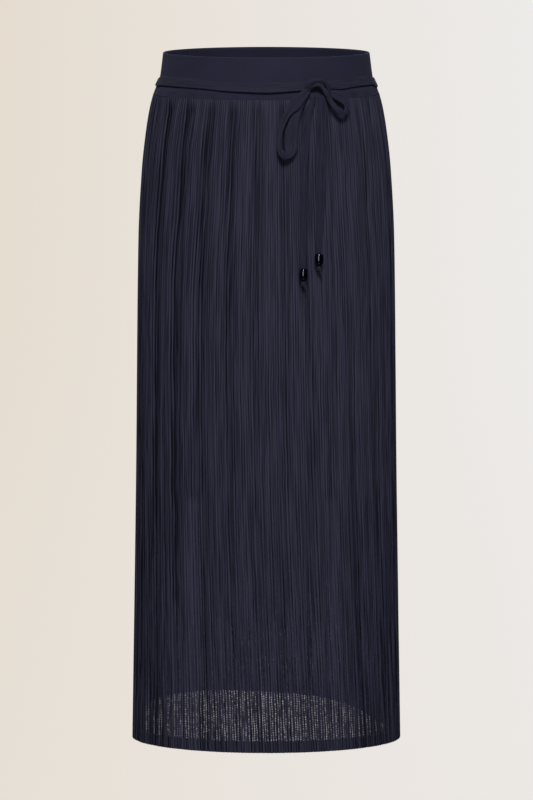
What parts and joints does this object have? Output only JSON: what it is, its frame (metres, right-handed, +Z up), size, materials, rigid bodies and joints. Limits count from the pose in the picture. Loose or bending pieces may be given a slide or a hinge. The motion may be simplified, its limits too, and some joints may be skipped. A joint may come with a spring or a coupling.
{
  "type": "pleated midi skirt",
  "caption": "Long straight skirt of finely pleated see-through knit, on a smooth jersey waistband with a soft tie knotted in a bow off centre and a bead on each hanging end.",
  "frame": {"origin": "on the waist's vertical axis, at half the height of the waistband, where the wearer's waist holds the skirt", "axes": "+Z up, from hem to waist; the front with the bow faces -Y; +X is the right as seen from the front"},
  "size_m": [0.3518, 0.257, 0.8996],
  "materials": {
    "jersey": "smooth knitted jersey",
    "pleated_knit": "pleated see-through knit",
    "tie_jersey": "soft jersey tube",
    "bead": "glossy black"
  },
  "bodies": {
    "root": {"waistband_front": "jersey", "waistband_back": "jersey", "skirt_front": "pleated_knit", "skirt_back": "pleated_knit", "tie_belt": "tie_jersey", "tie_knot": "tie_jersey", "tie_loop_left": "tie_jersey", "tie_loop_right": "tie_jersey", "tie_tail_left": "tie_jersey", "tie_tail_right": "tie_jersey", "bead_left": "bead", "bead_right": "bead", "end_knot_left": "tie_jersey", "end_knot_right": "tie_jersey"}
  },
  "joints": []
}
